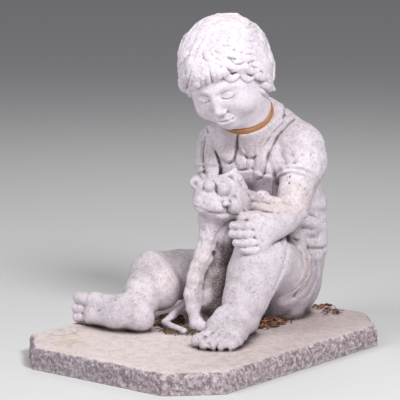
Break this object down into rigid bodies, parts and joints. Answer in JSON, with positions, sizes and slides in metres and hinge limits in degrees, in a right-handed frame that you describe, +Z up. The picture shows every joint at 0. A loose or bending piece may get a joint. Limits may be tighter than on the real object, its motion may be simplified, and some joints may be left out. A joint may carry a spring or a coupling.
{
  "type": "child and cat garden statue",
  "caption": "Cast stone garden statue of a seated child holding a cat, on its own corner-cut slab, the head re-set at the neck with mortar.",
  "frame": {"origin": "middle of the slab's underside", "axes": "+Z up, the child faces -Y, +X is towards the child's left"},
  "size_m": [0.39, 0.52, 0.5234],
  "materials": {
    "cast_stone": "weathered matt cast stone, speckled, with brown dirt in its hollows",
    "pale_cast_stone": "cleaner matt cast stone",
    "repair_mortar": "tan repair mortar, matt",
    "leaf_litter": "dry brown leaves and twigs caught on the slab"
  },
  "bodies": {
    "root": {"statue": "cast_stone", "head": "pale_cast_stone", "neck_mortar": "repair_mortar"}
  },
  "joints": []
}
